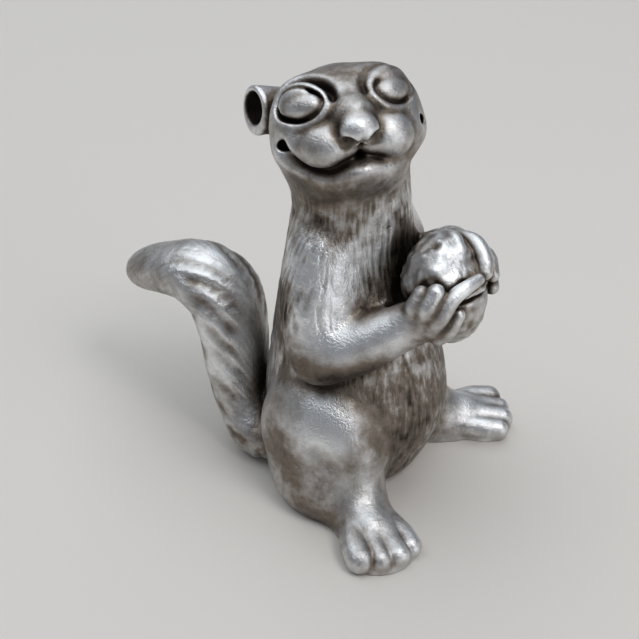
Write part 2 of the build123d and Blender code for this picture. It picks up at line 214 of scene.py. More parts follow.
def strokes(across, along, gap, length, seed):
    # chisel marks in staggered columns: 0 on the skin, 1 in the middle of a mark
    scatter = chisel["scatter"]
    deepest = np.zeros(len(across))
    column = np.floor(across / gap)
    for aside in (-1, 0, 1):
        own = column + aside
        flat = np.stack([own, np.zeros_like(own), np.zeros_like(own)], 1) + 0.5
        shift = noise(flat * scatter["column"], 1.0, seed)
        row = along / length + shift * chisel["stagger"]
        cell = np.floor(row)
        flat[:, 1] = cell * scatter["row"]
        lean = noise(flat * scatter["lean"], 1.0, seed + 1)
        mean, spread = chisel["size"]
        size = mean + spread * noise(flat * scatter["size"], 1.0, seed + 2)
        v = (row - cell) * 2 - 1
        middle = own + 0.5 + chisel["lean"] * lean + chisel["tilt"] * lean * v
        u = (across - middle * gap) / (gap * chisel["halfWidth"])
        mark = size * np.clip(1 - v * v, 0, 1) * np.exp(-u * u * chisel["crispness"])
        deepest = np.maximum(deepest, mark)
    return np.clip(deepest, 0, 1)


print("sculpting tools ready")

# Torso: height, half width, half depth and set-back of its sections. The neck runs up into the head.
torso = {
    "sections": (
        (-0.6, 5.3, 5.6, 0.7),
        (0.6, 6.7, 7.1, 0.6),
        (2.7, 7.5, 8.0, 0.3),
        (7.6, 7.8, 8.7, -0.5),
        (13.0, 7.5, 7.9, -0.5),
        (18.4, 6.8, 6.6, 0.0),
        (23.0, 5.85, 5.6, 0.3),
        (27.0, 5.2, 5.2, 0.2),
        (30.0, 5.1, 5.1, 0.5),
        (33.0, 4.4, 4.4, 1.1),
    ),
    "neckJoint": 27.0,
    "box": ((-9.0, -10.0, -1.0), (9.0, 10.0, 33.5)),  # with the neck inside the head
    "creases": (((1.6, -4.9, 30.6), (-0.2, -4.9, 30.1), (-2.2, -4.3, 29.5)),),  # under the jaw
    "creaseWidth": 0.4,
    "creaseDepth": 0.3,
}
torsoLine = smoothPath(torso["sections"], 10)


def torsoForm(points):
    height = points[:, 2]
    heights = torsoLine[:, 0]
    across, through, back = (np.interp(height, heights, torsoLine[:, k]) for k in (1, 2, 3))
    flat = np.stack([points[:, 0] / across, (points[:, 1] - back) / through], 1)
    inner = np.linalg.norm(flat, axis=1)
    slope = np.linalg.norm(flat / np.stack([across, through], 1), axis=1)
    side = inner * (inner - 1) / np.maximum(slope, 1e-6)
    for crease in torso["creases"]:
        side = side + groove(points, crease, torso["creaseWidth"], torso["creaseDepth"])
    return np.maximum(side, height - torso["sections"][-1][0])


# Head, in its own frame: the face looks along -Y, +X is its left.
head = {
    "centre": (0.0, 1.11, 33.6),
    "turn": -44.5,
    "tilt": -25.0,
    "roll": -6.0,
    "skull": (6.2, 6.4, 5.7),
    "jaw": ((0.0, -2.4, -2.7), (4.3, 3.7, 2.6)),
    "lip": ((0.0, -5.2, -2.85), (1.5, 0.95, 0.8)),
    "pad": ((2.35, -4.65, -0.55), (2.45, 2.3, 2.15)),
    "cheek": ((4.3, -2.3, -0.2), (2.2, 2.6, 2.4)),
    "temple": ((4.5, -1.9, 1.8), (1.6, 2.3, 1.8)),
    "bridge": ((0.0, -4.2, 0.95), (1.9, 3.3, 2.0)),
    "bump": ((0.0, -5.6, 1.9), (1.3, 1.3, 0.9)),
    "nose": ((0.0, -7.05, 0.4), (1.6, 1.25, 1.3)),
    "brow": ((3.0, -1.75, 3.45), (2.5, 2.9, 1.75)),
    "softness": 1.0,
    "middle": (0.0, -1.0, -0.4),
}
eye = {
    "centre": (3.45, -3.7, 3.05),
    "facing": (0.56, -0.58, 0.59),
    "drop": 0.45,  # how far the ball sits below the middle of the brow
    "lift": 0.12,  # and out of the face
    "socket": {-1: (2.05, 1.32, 0.6), 1: (1.95, 1.22, 0.42)},  # its right and left
    "socketSoftness": 0.6,
    "ball": (1.95, 1.22, 1.1),
    "ballSoftness": 0.12,
    "lineReach": (2.0, 1.28),
    "lineWidth": 0.2,
    "lineDepth": {-1: 0.22, 1: 0.08},  # its right and left
    "lineStrength": (1, 0.8, 0.3, 0.1, 0.1, 0.4, 0.9, 1, 1),
    # round from the outer corner
    "lidRadius": (0.36, 0.31, 0.30, 0.32, 0.36, 0.38, 0.36, 0.36, 0.36),
    "lidReach": (2.4, 1.66),
    "lidDepth": 0.2,
    "lidSoftness": 0.4,
    "browReach": (2.65, 2.05),
    "browArc": (10, 170),
    "browStrength": (0.6, 1, 1, 1, 0.6),
    "browWidth": 0.46,
    "browDepth": {-1: 0.85, 1: 0.25},  # its right and left
}
mouth = {
    "line": (
        (0.0, -6.0, -1.9),
        (1.5, -5.7, -2.2),
        (2.4, -5.2, -2.5),
        (3.6, -4.5, -2.3),
        (4.5, -3.9, -1.7),
        (5.0, -3.6, -0.85),
        (5.3, -3.3, 0.0),
    ),
    "width": 0.52,
    "depth": 0.66,
    # its right and left
    "strength": {-1: (1, 1, 1, 1.1, 1.4, 1.5, 1.2), 1: (1, 0.9, 0.4, 0.1, 0, 0.1, 0.5)},
    "corner": (5.35, -3.25, 0.05),
    "cornerRadii": (0.85, 0.85, 0.5),
    "cornerSoftness": 0.25,
    "nostril": (1.05, -7.35, -0.55),
    "nostrilRadii": (0.75, 0.75, 0.75),
    "nostrilSoftness": 0.2,
    "philtrum": ((0.0, -7.6, -0.5), (0.0, -6.6, -1.2), (0.0, -6.0, -1.9)),
    "philtrumWidth": 0.25,
    "philtrumDepth": 0.25,
}
headAxes = turned("z", head["turn"]) @ turned("x", head["tilt"]) @ turned("y", head["roll"])


def inHead(points):
    return (points - np.asarray(head["centre"])) @ headAxes


def mirrored(place, side):
    return (side * place[0],) + tuple(place[1:])


def faceCut(local, path, width, depth, strength=(1, 1)):
    # a groove along a line drawn on the face, seen from the middle of the head
    middle = np.array(head["middle"])
    line = smoothPath(path, 3) - middle
    size = np.linalg.norm(line, axis=1).mean()
    line = line / np.linalg.norm(line, axis=1)[:, None] * size
    rays = local - middle
    rays = rays / np.maximum(np.linalg.norm(rays, axis=1), 1e-6)[:, None] * size
    close = np.all((rays > line.min(0) - 4 * width) & (rays < line.max(0) + 4 * width), axis=1)
    cut = np.zeros(len(local))
    if close.any():
        away, place = alongPath(rays[close], line)
        share = np.interp(place / (len(line) - 1), np.linspace(0, 1, len(strength)), strength)
        cut[close] = depth * share * np.exp(-((away / width) ** 2))
    return cut


def onEye(centre, axes, reach, start, end):
    # nine places on an oval round the eye, by the angle from its horizontal
    turn = np.radians(np.linspace(start, end, 9))[:, None]
    return centre + reach[0] * np.cos(turn) * axes[0] + reach[1] * np.sin(turn) * axes[1]


def eyeCut(form, local, side):
    axes = axesFacing(mirrored(eye["facing"], side))
    centre = np.array(mirrored(eye["centre"], side))
    ball = centre - eye["drop"] * axes[1] + eye["lift"] * axes[2]
    ring = (180, 540) if side < 0 else (0, -360)
    form = carve(form, egg(local, ball, eye["socket"][side], axes), eye["socketSoftness"])
    form = melt(form, egg(local, ball, eye["ball"], axes), eye["ballSoftness"])
    lid = onEye(ball - eye["lidDepth"] * axes[2], axes, eye["lidReach"], *ring)
    lid = np.column_stack([lid, eye["lidRadius"]])
    form = melt(form, limb(local, lid), eye["lidSoftness"])
    line = onEye(ball, axes, eye["lineReach"], *ring)
    form = form + faceCut(local, line, eye["lineWidth"], eye["lineDepth"][side], eye["lineStrength"])
    brow = onEye(centre, axes, eye["browReach"], *eye["browArc"])
    return form + faceCut(local, brow, eye["browWidth"], eye["browDepth"][side], eye["browStrength"])


def mouthCut(form, local, side):
    line = [mirrored(place, side) for place in mouth["line"]]
    form = form + faceCut(local, line, mouth["width"], mouth["depth"], mouth["strength"][side])
    for pit in ("corner", "nostril"):
        place, radii = mirrored(mouth[pit], side), mouth[pit + "Radii"]
        form = carve(form, egg(local, place, radii), mouth[pit + "Softness"])
    return form


def headForm(points):
    local = inHead(points)
    soft = head["softness"]
    form = egg(local, (0, 0, 0), head["skull"])
    form = melt(form, egg(local, *head["jaw"]), soft)
    form = melt(form, egg(local, *head["bridge"]), soft)
    for side in (-1, 1):
        for name in ("brow", "cheek", "temple"):
            place, radii = head[name]
            form = melt(form, egg(local, mirrored(place, side), radii), soft)
        place, radii = head["pad"]
        form = melt(form, egg(local, mirrored(place, side), radii), soft / 2)
    form = melt(form, egg(local, *head["bump"]), soft)
    form = melt(form, egg(local, *head["lip"]), soft / 2)
    form = melt(form, egg(local, *head["nose"]), soft / 2)
    for side in (-1, 1):
        form = eyeCut(form, local, side)
        form = mouthCut(form, local, side)
    return form + faceCut(local, mouth["philtrum"], mouth["philtrumWidth"], mouth["philtrumDepth"])


# Ears: round cups, open outwards.
ear = {
    "right_ear": ((-2.55, 4.3, 2.55), (-0.94, -0.33, 0.10)),
    "left_ear": ((2.35, 4.15, 1.4), (0.85, 0.36, 0.18)),
    "length": 4.6,
    "radii": (1.5, 1.85, 2.2),  # at the head, halfway and at the rim
    "hollow": ((0.0, 0.2, 4.7), (1.6, 1.4, 2.5)),
    "rim": 0.4,
    "cupSoftness": 0.3,
    "cupReach": 1.0,  # how far outside the ear its hollow is still felt
    "cupEdge": 0.15,  # how far from the hollow it is still dark
}


def inEar(points, name):
    place, facing = ear[name]
    return (inHead(points) - np.asarray(place)) @ axesFacing(facing).T


def earForm(points, name):
    local = inEar(points, name)
    length, rim = ear["length"], ear["rim"]
    radius = np.interp(local[:, 2], (0, length / 2, length), ear["radii"])
    away = np.linalg.norm(local[:, :2], axis=1) - radius + rim
    side = np.stack([away, np.abs(local[:, 2] - length / 2) - length / 2 + rim], 1)
    return np.linalg.norm(np.maximum(side, 0), axis=1) + np.minimum(side.max(1), 0) - rim


def earHollow(points, name):
    return egg(inEar(points, name), *ear["hollow"])


# Hind legs: haunch, hock and a splayed foot with four toes. Foot places are along, across and up.
legs = {
    "right_hind_leg": {
        "haunch": ((-6.55, -1.4, 6.35), (4.3, 6.3, 6.5)),
        "hock": ((-7.4, -2.45, 2.3), (4.0, 5.5, 4.0)),
        "heel": (-7.2, -5.05, 0.0),
        "splay": -38.0,
        "inner": 1,
    },
    "left_hind_leg": {
        "haunch": ((5.65, -0.2, 6.35), (4.3, 6.3, 6.5)),
        "hock": ((6.5, -1.25, 2.3), (4.0, 5.5, 4.0)),
        "heel": (6.3, -3.85, 0.0),
        "splay": 46.0,
        "inner": -1,
    },
    "softness": 1.6,
    # outwards, back and up from the middle of the haunch, then width and depth
    "creases": (
        (((4.0, -1.0, 2.1), (3.9, -2.5, 1.2), (3.5, -4.0, -0.4)), 0.8, 0.3),
        (((1.3, -4.8, 4.6), (0.6, -6.1, 2.7), (-1.3, -6.8, -0.6)), 0.75, 0.4),
    ),
}
foot = {
    "instep": ((3.0, 0.3, 0.4), (4.4, 2.8, 3.0)),
    "ball": ((6.3, 0.5, 0.2), (2.9, 3.3, 1.8)),
    "toes": (
        ((3.2, -0.9, 1.5, 1.2), (5.9, -1.65, 1.15, 1.35), (7.6, -1.7, 0.95, 1.3)),
        ((3.6, 0.1, 1.9, 0.9), (6.5, -0.1, 1.4, 1.0), (8.2, 0.0, 0.95, 1.05)),
        ((3.6, 1.1, 1.8, 1.0), (6.4, 1.4, 1.3, 1.1), (8.0, 1.55, 0.95, 1.15)),
        ((3.2, 2.0, 1.4, 0.9), (5.7, 2.8, 1.1, 1.05), (7.2, 3.05, 0.85, 1.05)),
    ),
    "toeSoftness": 0.25,
}


def inFoot(points, name):
    leg = legs[name]
    forward = turned("z", leg["splay"]) @ np.array((0.0, -1.0, 0.0))
    across = leg["inner"] * np.array((-forward[1], forward[0], 0.0))
    return (points - np.asarray(leg["heel"])) @ np.array([forward, across, (0, 0, 1)]).T


def legForm(points, name):
    leg, soft = legs[name], legs["softness"]
    local = inFoot(points, name)
    form = melt(egg(points, *leg["haunch"]), egg(points, *leg["hock"]), soft)
    paw = melt(egg(local, *foot["instep"]), egg(local, *foot["ball"]), soft / 2)
    for toe in foot["toes"]:
        paw = melt(paw, limb(local, toe), foot["toeSoftness"])
    form = melt(form, paw, soft)
    place = np.asarray(leg["haunch"][0])
    fromHaunch = (points - place) * (math.copysign(1, place[0]), 1, 1)
    for crease, width, depth in legs["creases"]:
        form = form + groove(fromHaunch, crease, width, depth)
    return form


# Acorn: a cap above and a kernel below, leaning back to the chin.
nut = {
    "centre": (0.0, -9.5, 21.87),
    "tilt": -16.0,
    "cap": (3.7, 3.7, 4.95),
    "kernel": (3.45, 3.45, 4.85),
    "rim": -0.1,
    "rimGroove": 0.35,
    "rimWidth": 0.22,
    "rimSoftness": 0.2,
    "capEdge": 0.5,
    "capLumps": 0.26,
    "capLumpSizes": (1.1, 0.55),
    "fineLumps": 0.4,  # share of the smaller lumps
    "kernelLumps": 0.1,
    "kernelLumpSize": 0.6,
}
nutAxes = turned("x", nut["tilt"])


def inNut(points):
    return (points - np.asarray(nut["centre"])) @ nutAxes


def nutForm(points):
    local = inNut(points)
    cap = np.maximum(egg(local, (0, 0, 0), nut["cap"]), nut["rim"] - local[:, 2])
    form = melt(egg(local, (0, 0, 0), nut["kernel"]), cap, nut["rimSoftness"])
    form = form + nut["rimGroove"] * np.exp(-(((local[:, 2] - nut["rim"]) / nut["rimWidth"]) ** 2))
    onCap = step(local[:, 2], -nut["capEdge"], nut["capEdge"])
    large, small = nut["capLumpSizes"]
    lumps = noise(points, large, 3) + nut["fineLumps"] * noise(points, small, 4)
    form = form - nut["capLumps"] * onCap * lumps
    return form - nut["kernelLumps"] * (1 - onCap) * noise(points, nut["kernelLumpSize"], 7)


# Arms: x, y, z and radius of the stations down the arm and out along each finger.
arms = {
    "right_arm": {
        "upper": (
            (-5.0, 0.2, 24.2, 2.5),
            (-5.9, -0.1, 21.2, 2.95),
            (-7.0, -0.8, 17.9, 2.7),
            (-7.3, -1.6, 16.0, 2.3),
        ),
        "fore": (
            (-7.3, -1.6, 16.0, 2.3),
            (-6.7, -4.0, 16.9, 2.3),
            (-5.5, -6.3, 18.5, 2.15),
            (-4.5, -8.0, 19.8, 2.0),
        ),
        "paw": ((-4.2, -9.5, 20.9), (1.5, 2.0, 1.8)),
        "fingers": (
            ((-4.5, -9.2, 21.6, 0.9), (-4.7, -9.4, 22.7, 0.88), (-4.2, -9.6, 23.6, 0.78)),
            ((-4.5, -10.3, 21.7, 0.9), (-4.7, -10.6, 22.9, 0.88), (-4.0, -10.8, 24.1, 0.78)),
            (
                (-4.4, -11.0, 20.9, 0.85),
                (-4.4, -11.6, 22.2, 0.8),
                (-3.4, -12.0, 23.6, 0.7),
                (-2.1, -12.5, 24.2, 0.62),
                (-0.5, -12.8, 24.3, 0.5),
            ),
            ((-4.0, -11.3, 20.0, 0.8), (-3.8, -12.1, 21.0, 0.78), (-3.1, -12.5, 22.1, 0.6)),
        ),
    },
    "left_arm": {
        "upper": (
            (5.0, 0.2, 24.2, 2.4),
            (5.9, -0.1, 21.6, 2.85),
            (7.0, -0.8, 18.9, 2.55),
            (7.3, -1.7, 17.1, 2.25),
        ),
        "fore": (
            (7.3, -1.7, 17.1, 2.25),
            (6.6, -3.8, 18.3, 2.2),
            (5.2, -5.4, 20.5, 2.05),
            (3.8, -6.9, 22.8, 1.95),
        ),
        "paw": ((2.9, -8.3, 24.3), (1.6, 2.0, 1.7)),
        "fingers": (
            ((1.8, -8.2, 25.5, 0.85), (0.9, -9.4, 26.2, 0.8), (0.2, -10.4, 26.1, 0.62)),
            (
                (2.6, -9.0, 25.3, 0.9),
                (2.2, -10.8, 25.6, 0.88),
                (1.4, -12.2, 24.9, 0.8),
                (0.7, -12.7, 24.3, 0.65),
            ),
            ((3.4, -9.2, 24.3, 0.9), (3.1, -11.4, 24.2, 0.85), (2.2, -12.6, 23.3, 0.68)),
            ((3.7, -9.0, 23.2, 0.9), (3.5, -11.3, 22.7, 0.85), (2.7, -12.4, 21.7, 0.68)),
        ),
    },
    "elbowSoftness": 1.5,
    "pawSoftness": 0.9,
    "fingerSoftness": 0.3,
    "shoulderSoftness": 1.7,
    "underSoftness": 0.5,
    "crook": (15.5, 18.5),  # heights over which the joint with the body gets softer
    "nutReach": (0.3, 2.4),  # distances from the acorn over which it does so too
}


def armForm(points, name):
    arm = arms[name]
    form = melt(limb(points, arm["upper"]), limb(points, arm["fore"]), arms["elbowSoftness"])
    form = melt(form, egg(points, *arm["paw"]), arms["pawSoftness"])
    for finger in arm["fingers"]:
        form = melt(form, limb(points, finger), arms["fingerSoftness"])
    return form


# Tail: x, y, z, half width and half thickness of its stations, from the rump to the tip.
tail = {
    "stations": (
        (-3.2, 3.2, 3.0, 2.6, 2.0),
        (-4.4, 6.6, 2.1, 3.5, 2.5),
        (-4.1, 9.2, 4.3, 3.2, 2.5),
        (-3.6, 10.5, 7.6, 3.6, 2.55),
        (-3.1, 11.3, 11.2, 4.0, 2.75),
        (-2.8, 12.5, 14.4, 4.2, 2.9),
        (-2.7, 15.6, 15.7, 3.8, 2.8),
        (-2.6, 19.2, 14.8, 3.1, 2.45),
        (-2.5, 22.0, 13.7, 2.5, 2.1),
        (-2.5, 23.7, 13.0, 1.6, 1.4),
        (-2.5, 24.6, 12.65, 0.1, 0.1),
    ),
    "length": 36.0,
    "girth": 3.2,  # radius that the way round the tail is measured on
    # flame locks on each side: along the tail and round from its front, start, end and depth
    "locks": (
        ((24.0, 3.2), (17.4, 0.4), 0.16),
        ((22.0, 4.0), (15.8, 1.0), 0.22),
        ((20.0, 4.8), (14.2, 1.8), 0.22),
        ((17.2, 5.0), (11.8, 2.0), 0.20),
        ((14.4, 4.8), (9.8, 1.8), 0.14),
        ((11.4, 5.2), (7.8, 3.2), 0.12),
        ((8.6, 6.0), (5.8, 4.4), 0.12),
        ((6.2, 5.6), (3.8, 4.2), 0.12),
        ((20.8, 7.0), (16.4, 5.4), 0.12),
        ((16.8, 7.4), (12.4, 5.2), 0.14),
        ((12.6, 7.6), (8.8, 5.8), 0.12),
        ((17.8, 9.2), (13.6, 7.6), 0.12),
    ),
    "lockWidth": 0.5,
    "lockBow": 0.25,
}
tailLine = smoothPath(tail["stations"], 5)


def alongTail(points):
    # distance, share of the length, and angle round the tail
    _, place = alongPath(points, tailLine)
    tangent = onPath(np.gradient(tailLine[:, :3], axis=0), place, range(3))
    tangent /= np.linalg.norm(tangent, axis=1)[:, None]
    values = onPath(tailLine, place, range(5))
    share = place / (len(tailLine) - 1)
    offset = points - values[:, :3]
    across = offset[:, 0]
    through = np.einsum("ij,ij->i", offset, np.cross(tangent, (1.0, 0.0, 0.0)))
    flat = np.stack([across, through], 1)
    sizes = np.maximum(values[:, 3:5], 0.05)
    ends = np.einsum("ij,ij->i", offset, tangent)
    inner = np.sqrt((flat**2 / sizes**2).sum(1) + (ends / sizes[:, 1]) ** 2)
    slope = np.sqrt((flat**2 / sizes**4).sum(1) + (ends / sizes[:, 1] ** 2) ** 2)
    return inner * (inner - 1) / np.maximum(slope, 1e-6), share, np.arctan2(through, across)


def tailForm(points):
    return alongTail(points)[0]


print("forms described")

castings = {"torso": torsoForm, "head": headForm, "tail": tailForm, "nut": nutForm}
for form, part in ((legForm, "hind_leg"), (earForm, "ear"), (armForm, "arm")):
    for side in ("right_", "left_"):
        castings[side + part] = partial(form, name=side + part)
# how softly each casting runs into the ones before it
joinSoftness = {
    "head": 1.3,
    "tail": 0.4,
    "nut": 0.3,
    "right_hind_leg": 1.5,
    "left_hind_leg": 1.5,
    "right_ear": 0.9,
    "left_ear": 0.9,
    "right_arm": 0.25,
    "left_arm": 0.25,
}
# the castings that each one meets
meets = {
    "torso": ("head", "tail", "nut", "right_hind_leg", "left_hind_leg", "right_arm", "left_arm"),
    "head": ("torso", "right_ear", "left_ear", "right_arm", "left_arm", "nut"),
    "tail": ("torso", "right_hind_leg"),
    "nut": ("torso", "right_arm", "left_arm", "head"),
    "right_hind_leg": ("torso", "tail", "right_arm"),
    "left_hind_leg": ("torso", "left_arm"),
    "right_ear": ("head",),
    "left_ear": ("head",),
    "right_arm": ("torso", "head", "nut", "right_hind_leg", "left_arm"),
    "left_arm": ("torso", "head", "nut", "left_hind_leg", "right_arm"),
}


def castingBox(name):
    low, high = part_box(name)
    return np.array(low) / mm, np.array(high) / mm


formBoxes = {name: castingBox(name) for name in castings}
formBoxes["torso"] = np.array(torso["box"])
core = sculpt["core"]
for name in ("right_arm", "left_arm", "right_hind_leg", "left_hind_leg", "tail"):
    low, high = formBoxes[name]
    low[:2], high[:2] = np.minimum(low[:2], core), np.maximum(high[:2], -core)


def formsNear(points):
    near = {}
    for name, form in castings.items():
        low, high = formBoxes[name]
        inBox = np.all((points > low - sculpt["reach"]) & (points < high + sculpt["reach"]), axis=1)
        near[name] = np.full(len(points), sculpt["far"])
        if inBox.any():
            near[name][inBox] = form(points[inBox])
    return near


def joined(near, points):
    whole = near["torso"]
    for name, softness in joinSoftness.items():
        if name in arms:  # soft at the shoulder and in the crook, crisp below and on the acorn
            above = step(points[:, 2], *arms["crook"])
            soft = arms["underSoftness"] + arms["shoulderSoftness"] * above
            softness = softness + soft * step(near["nut"], *arms["nutReach"])
        whole = melt(whole, near[name], softness)
    for name in ("right_ear", "left_ear"):
        close = near[name] < ear["cupReach"]
        if close.any():
            hollow = earHollow(points[close], name)
            whole[close] = carve(whole[close], hollow, ear["cupSoftness"])
    return whole


# Creases and fur are cut into the joined skin.
fur = {
    "gap": 0.55,  # between chisel marks on the body
    "length": 3.2,
    "depth": 0.13,
    "girth": 6.5,  # radius that the way round the body is measured on
    "waver": (0.5, 3.0),  # how far the marks stray sideways, and over which distance
    "stray": (0.4, 2.0),  # the same along the body
    "patches": (0.75, 0.4, 2.6),  # mean depth, spread and size of deeper patches
    "shallowest": 0.2,
    "bellyRise": (11, 18),  # heights over which half depth grows to full depth
    "neckFade": (25, 29),  # and fades to half again
    "seam": (0.6, 1.8),  # no marks in the seam along the arms
    "lumps": 0.05,
    "lumpSize": 0.9,
    "bareLumps": 0.35,  # share of the lumps where there is no hair
    "bare": ("nut", "tail", "head", "right_ear", "left_ear", "right_hind_leg", "left_hind_leg"),
    "bareEdge": (-0.6, 1.6),
    "armEdge": (-0.2, 0.6),
    "armHeights": (17.5, 20.0),  # hair starts above the elbow
    "armFront": (-4.0, -2.0),  # and stops at the forearm
    "armShare": 0.9,
    "limbReach": (0.8, 1.6),  # how far from an arm or the tail its own marks go
    "tailEdge": (-0.3, 0.5),
    "tailSweep": 28.0,  # degrees from the tail's own line
    "tailDepth": 0.05,
    "tailWaver": (0.25, 2.0),
}


def tailMarks(points):
    # flame locks, and fine hairs between them
    _, share, turn = alongTail(points)
    length = share * tail["length"]
    roundWay = np.arccos(np.clip(-np.sin(turn), -1, 1)) * tail["girth"]
    waver, size = fur["tailWaver"]
    wavy = roundWay + waver * noise(points, size, 15)
    unrolled = np.stack([length, wavy, np.zeros(len(points))], 1)
    cut = np.zeros(len(points))
    for start, end, depth in tail["locks"]:
        middle = ((start[0] + end[0]) / 2, (start[1] + end[1]) / 2 + tail["lockBow"])
        line = [place + (0.0,) for place in (start, middle, end)]
        cut = np.maximum(cut, groove(unrolled, line, tail["lockWidth"], depth))
    sweep = math.radians(fur["tailSweep"])
    across = roundWay * math.cos(sweep) - length * math.sin(sweep)
    along = length * math.cos(sweep) + roundWay * math.sin(sweep)
    return cut + fur["tailDepth"] * strokes(across, along, fur["gap"], fur["length"], 21)


def nearestArm(near):
    return np.minimum(near["right_arm"], near["left_arm"])


def hairy(points, near):
    # 1 where the body is cut with hair: the torso and the upper arms
    others = np.minimum.reduce([near[name] for name in fur["bare"]])
    onBody = step(others - near["torso"], *fur["bareEdge"])
    arm = nearestArm(near)
    onArm = step(near["torso"] - arm, *fur["armEdge"]) * (1 - step(arm, *fur["limbReach"]))
    upper = step(points[:, 2], *fur["armHeights"]) * step(points[:, 1], *fur["armFront"])
    return onBody * (1 - onArm) + fur["armShare"] * onArm * upper


def bodyMarks(points):
    # chisel marks that run down the body, deeper in patches
    height = points[:, 2]
    waver, size = fur["waver"]
    across = np.arctan2(points[:, 0], -points[:, 1]) * fur["girth"] + waver * noise(points, size, 5)
    stray, size = fur["stray"]
    along = height + stray * noise(points, size, 6)
    marks = strokes(across, along, fur["gap"], fur["length"], 11)
    mean, spread, size = fur["patches"]
    patchy = np.clip(mean + spread * noise(points, size, 8), fur["shallowest"], 1)
    full = 0.5 + 0.5 * step(height, *fur["bellyRise"]) - 0.5 * step(height, *fur["neckFade"])
    return fur["depth"] * marks * patchy * full


def texture(points, near):
    # how far the skin lies below the smooth form
    furry = hairy(points, near)
    apart = step(np.abs(near["torso"] - nearestArm(near)), *fur["seam"])
    cut = bodyMarks(points) * furry * apart
    lumpy = fur["bareLumps"] + (1 - fur["bareLumps"]) * furry
    cut += fur["lumps"] * lumpy * noise(points, fur["lumpSize"], 9)
    onTail = step(near["torso"] - near["tail"], *fur["tailEdge"])
    onTail = onTail * (1 - step(near["tail"], *fur["limbReach"]))
    some = onTail > 0
    if some.any():
        cut[some] += onTail[some] * tailMarks(points[some])
    return cut


def skin(points):
    return np.maximum(joined(formsNear(points), points), -points[:, 2])


def pastParting(name, near, points):
    # how far a place lies past the line where this casting ends
    own = dict(near)
    joint = torso["neckJoint"] - points[:, 2]
    own["head"] = np.maximum(np.minimum(near["head"], near["torso"]), joint)
    own["torso"] = np.maximum(near["torso"], -joint)
    return np.max([(own[name] - own[other]) / 2 for other in meets[name]], axis=0)


def castingField(name, points, finish=False):
    near = formsNear(points)
    past = pastParting(name, near, points)
    whole = joined(near, points)
    if finish:
        whole = whole + texture(points, near)
    whole = whole + sculpt["tuck"] * step(past, -sculpt["fade"], sculpt["fade"])
    return np.stack([np.maximum(whole, -points[:, 2]), past - sculpt["overlap"]], 1)


def inChunks(work, points, size=20000):
    if len(points) <= size:
        return work(points)
    parts = np.array_split(points, len(points) // size + 1)
    with ThreadPoolExecutor(4) as hands:
        return np.concatenate(list(hands.map(work, parts)))


# Meshing: one vertex in each cell that the surface crosses, one face across each crossed edge.
def netMesh(field, low, high, cell):
    start = low - 2 * cell
    shape = np.ceil((high - low) / cell).astype(int) + 5
    stride = sculpt["stride"]
    coarseShape = (shape - 1) // stride + 2
    grid = np.stack(np.meshgrid(*map(np.arange, coarseShape), indexing="ij"), -1)
    coarse = start + cell * stride * grid
    rough = inChunks(field, coarse.reshape(-1, 3)).reshape(coarseShape)
    nearest = [np.rint(np.arange(count) / stride).astype(int) for count in shape]
    values = rough[np.ix_(*nearest)]
    wanted = np.abs(values) < stride * cell * 1.15  # places that the surface may pass
    values[wanted] = inChunks(field, start + cell * np.argwhere(wanted))

    inside = values < 0
    corners = list(np.ndindex(2, 2, 2))
    count = np.zeros(shape - 1, int)
    for corner in corners:
        count += inside[tuple(slice(k, n - 1 + k) for k, n in zip(corner, shape))]
    crossed = (count > 0) & (count < 8)
    cells = np.argwhere(crossed)
    number = np.full(crossed.shape, -1)
    number[crossed] = np.arange(len(cells))
    total, hits = np.zeros((len(cells), 3)), np.zeros(len(cells))
    for axis in range(3):
        along = np.eye(3, dtype=int)[axis]
        for corner in corners:
            if corner[axis]:
                continue
            a = values[tuple((cells + corner).T)]
            b = values[tuple((cells + corner + along).T)]
            cut = (a < 0) != (b < 0)
            share = np.where(cut, a / np.where(cut, a - b, 1), 0)
            total[cut] += (corner + share[:, None] * along)[cut]
            hits[cut] += 1
    points = start + cell * (cells + total / hits[:, None])

    faces = []
    for axis in range(3):
        along, u, v = np.roll(np.eye(3, dtype=int), -axis, axis=0)
        before = [slice(1, n - 1) for n in shape]
        after = list(before)
        before[axis], after[axis] = slice(0, shape[axis] - 1), slice(1, shape[axis])
        first, second = inside[tuple(before)], inside[tuple(after)]
        edges = np.argwhere(first != second)
        out = first[tuple(edges.T)]
        edges = edges + 1 - along
        quad = np.stack([number[tuple((edges - shift).T)] for shift in (u + v, v, 0 * u, u)], 1)
        quad[~out] = quad[~out][:, ::-1]
        faces.append(quad)
    return points, np.concatenate(faces)


def largestPart(points, faces):
    label = np.arange(len(points))
    while True:
        lowest = label.copy()
        np.minimum.at(lowest, faces, label[faces].min(1)[:, None])
        lowest = lowest[lowest]
        if (lowest == label).all():
            break
        label = lowest
    names, sizes = np.unique(label, return_counts=True)
    keep = label == names[np.argmax(sizes)]
    faces = faces[keep[faces[:, 0]]]
    return points[keep], (np.cumsum(keep) - 1)[faces]


def settle(points, field, rounds, reach):
    # slide the points along the slope until they lie on the surface
    longest = sculpt["settleStep"] * reach

    def moved(some):
        for _ in range(rounds):
            here = field(some)
            slope = np.stack([(field(some + s) - here) / reach for s in reach * np.eye(3)], 1)
            steep = np.maximum((slope**2).sum(1), sculpt["flattest"])
            move = here[:, None] * slope / steep[:, None]
            some = some - np.clip(move, -longest, longest)
        return some

    return inChunks(moved, points)


def outwards(points, faces):
    corner = points[faces]
    normal = np.cross(corner[:, 2] - corner[:, 0], corner[:, 3] - corner[:, 1])
    total = np.zeros_like(points)
    for k in range(4):
        np.add.at(total, faces[:, k], normal)
    return total / np.maximum(np.linalg.norm(total, axis=1), 1e-12)[:, None]


